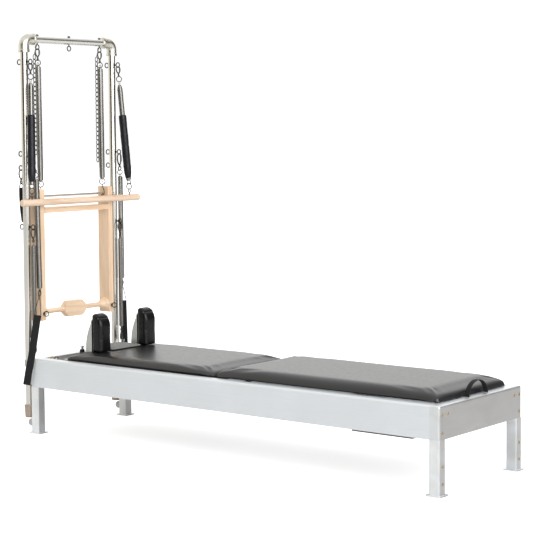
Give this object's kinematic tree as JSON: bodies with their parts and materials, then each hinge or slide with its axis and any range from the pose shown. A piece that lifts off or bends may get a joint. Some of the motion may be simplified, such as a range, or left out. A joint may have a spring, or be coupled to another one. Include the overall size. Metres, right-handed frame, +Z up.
{
  "type": "pilates reformer",
  "caption": "Pilates reformer bed with a sliding carriage, shoulder rests, a half mat, and a spring tower with a push-through frame and a roll-down bar.",
  "frame": {"origin": "on the floor, under the centre of the bounding box", "axes": "+X along the bed from the tower (head end) to the foot end, +Y across the bed, +Z up"},
  "size_m": [2.3534, 0.802, 1.8885],
  "materials": {
    "rail_aluminium": "satin anodised",
    "end_aluminium": "brushed",
    "track_aluminium": "mill",
    "plate_steel": "zinc plated",
    "brass_screw": "polished",
    "polished_tube": "polished",
    "elbow_nickel": "polished nickel",
    "cap_bronze": "satin nickel",
    "zinc_hardware": "zinc plated",
    "spring_steel": "oiled spring steel",
    "sleeve_black": "smooth padded sleeve",
    "webbing_black": "woven webbing",
    "maple_wood": "clear satin lacquer",
    "vinyl_black": "smooth vinyl",
    "headrest_grey": "smooth vinyl",
    "bracket_aluminium": "satin",
    "chrome_peg": "polished",
    "leather_black": "smooth",
    "deck_board": "plywood painted matt black",
    "wheel_plastic": "moulded"
  },
  "bodies": {
    "frame": {"rail_head": "end_aluminium", "rail_foot": "end_aluminium", "rail_near": "rail_aluminium", "rail_far": "rail_aluminium", "track_near": "track_aluminium", "track_far": "track_aluminium", "leg_near_head": "rail_aluminium", "leg_far_head": "rail_aluminium", "leg_near_foot": "rail_aluminium", "leg_far_foot": "rail_aluminium", "frame_screws": "brass_screw", "cross_plate": "plate_steel", "spring_bar": "track_aluminium", "post_near": "polished_tube", "post_far": "polished_tube", "crossbar": "polished_tube", "elbow_near": "elbow_nickel", "elbow_far": "elbow_nickel", "post_caps": "cap_bronze", "head_brackets": "plate_steel", "tower_eyebolts": "zinc_hardware", "push_axle": "polished_tube", "inner_spring_near": "spring_steel", "inner_spring_far": "spring_steel", "chains": "zinc_hardware", "back_strap": "webbing_black", "arm_spring_near": "spring_steel", "arm_spring_far": "spring_steel", "leg_spring_near": "spring_steel", "leg_spring_far": "spring_steel"},
    "transport_wheels": {"transport_wheels": "wheel_plastic"},
    "pulley_near": {"pulley_near": "wheel_plastic"},
    "pulley_far": {"pulley_far": "wheel_plastic"},
    "push_frame": {"push_board_near": "maple_wood", "push_board_far": "maple_wood", "push_cross_board": "maple_wood", "push_dowel": "maple_wood"},
    "roll_hanger": {"roll_spring_near": "sleeve_black", "roll_spring_far": "sleeve_black"},
    "roll_bar": {"roll_bar": "maple_wood", "roll_bar_hooks": "zinc_hardware"},
    "arm_strap_near": {"arm_strap_near": "webbing_black"},
    "arm_strap_far": {"arm_strap_far": "webbing_black"},
    "leg_hook_near": {"leg_hook_near": "zinc_hardware"},
    "leg_hook_far": {"leg_hook_far": "zinc_hardware"},
    "carriage": {"carriage_deck": "deck_board", "carriage_pad": "vinyl_black", "carriage_springs": "spring_steel", "strap_pegs": "chrome_peg", "peg_loops": "leather_black"},
    "wheelset_head": {"wheelset_head": "wheel_plastic"},
    "wheelset_foot": {"wheelset_foot": "wheel_plastic"},
    "headrest": {"headrest": "headrest_grey"},
    "shoulder_rest_near": {"shoulder_bracket_near": "bracket_aluminium", "shoulder_pad_near": "vinyl_black"},
    "shoulder_rest_far": {"shoulder_bracket_far": "bracket_aluminium", "shoulder_pad_far": "vinyl_black"},
    "mat": {"mat_pad": "vinyl_black", "mat_handle": "webbing_black"},
    "footbar": {"footbar": "chrome_peg"}
  },
  "joints": [
    {"name": "carriage_slide", "type": "slide", "parent": "frame", "child": "carriage", "axis": [1, 0, 0], "range_m": [-0.045, 0]},
    {"name": "wheel_spin_head", "type": "hinge", "parent": "carriage", "child": "wheelset_head", "pos_m": [-0.85825, 0, 0.2903], "axis": [0, 1, 0], "range_deg": [-117.2, 0]},
    {"name": "wheel_spin_foot", "type": "hinge", "parent": "carriage", "child": "wheelset_foot", "pos_m": [-0.08525, 0, 0.2903], "axis": [0, 1, 0], "range_deg": [-117.2, 0]},
    {"name": "headrest_tilt", "type": "hinge", "parent": "carriage", "child": "headrest", "pos_m": [-0.76625, 0, 0.395], "axis": [0, 1, 0], "range_deg": [0, 35]},
    {"name": "shoulder_lift_near", "type": "slide", "parent": "carriage", "child": "shoulder_rest_near", "axis": [0, 0, 1], "range_m": [0, 0.08]},
    {"name": "shoulder_lift_far", "type": "slide", "parent": "carriage", "child": "shoulder_rest_far", "axis": [0, 0, 1], "range_m": [0, 0.08]},
    {"name": "mat_lift", "type": "slide", "parent": "frame", "child": "mat", "axis": [0, 0, 1], "range_m": [0, 0.15]},
    {"name": "footbar_fold", "type": "hinge", "parent": "frame", "child": "footbar", "pos_m": [0.73675, 0, 0.296], "axis": [0, -1, 0], "range_deg": [0, 5]},
    {"name": "push_swing", "type": "hinge", "parent": "frame", "child": "push_frame", "pos_m": [-1.12075, 0, 1.12], "axis": [0, 1, 0], "range_deg": [-25, 100]},
    {"name": "roll_swing", "type": "hinge", "parent": "frame", "child": "roll_hanger", "pos_m": [-1.08675, 0, 1.755], "axis": [0, -1, 0], "range_deg": [0, 60]},
    {"name": "roll_pull", "type": "slide", "parent": "roll_hanger", "child": "roll_bar", "axis": [0.054, 0, -0.9985], "range_m": [0, 0.3], "stiffness_N_per_m": 150, "springref_m": -0.08, "deforming": ["roll_spring_near", "roll_spring_far"]},
    {"name": "arm_pull_near", "type": "slide", "parent": "frame", "child": "arm_strap_near", "axis": [1, 0, 0], "range_m": [0, 0.4], "stiffness_N_per_m": 60, "deforming": ["arm_spring_near"]},
    {"name": "leg_pull_near", "type": "slide", "parent": "frame", "child": "leg_hook_near", "axis": [1, 0, 0], "range_m": [0, 0.3], "stiffness_N_per_m": 60, "deforming": ["leg_spring_near"]},
    {"name": "arm_pull_far", "type": "slide", "parent": "frame", "child": "arm_strap_far", "axis": [1, 0, 0], "range_m": [0, 0.4], "stiffness_N_per_m": 60, "deforming": ["arm_spring_far"]},
    {"name": "leg_pull_far", "type": "slide", "parent": "frame", "child": "leg_hook_far", "axis": [1, 0, 0], "range_m": [0, 0.3], "stiffness_N_per_m": 60, "deforming": ["leg_spring_far"]},
    {"name": "pulley_spin_near", "type": "hinge", "parent": "frame", "child": "pulley_near", "pos_m": [-1.01625, -0.242, 0.332], "axis": [0, 0, 1], "continuous": true},
    {"name": "pulley_spin_far", "type": "hinge", "parent": "frame", "child": "pulley_far", "pos_m": [-1.01625, 0.242, 0.332], "axis": [0, 0, 1], "continuous": true},
    {"name": "transport_spin", "type": "hinge", "parent": "frame", "child": "transport_wheels", "pos_m": [-1.11425, 0, 0.047], "axis": [0, 1, 0], "continuous": true}
  ],
  "couplings": [
    {"joint": "wheel_spin_head", "follows": "carriage_slide", "rad_per_m": 45.455},
    {"joint": "wheel_spin_foot", "follows": "carriage_slide", "rad_per_m": 45.455}
  ]
}
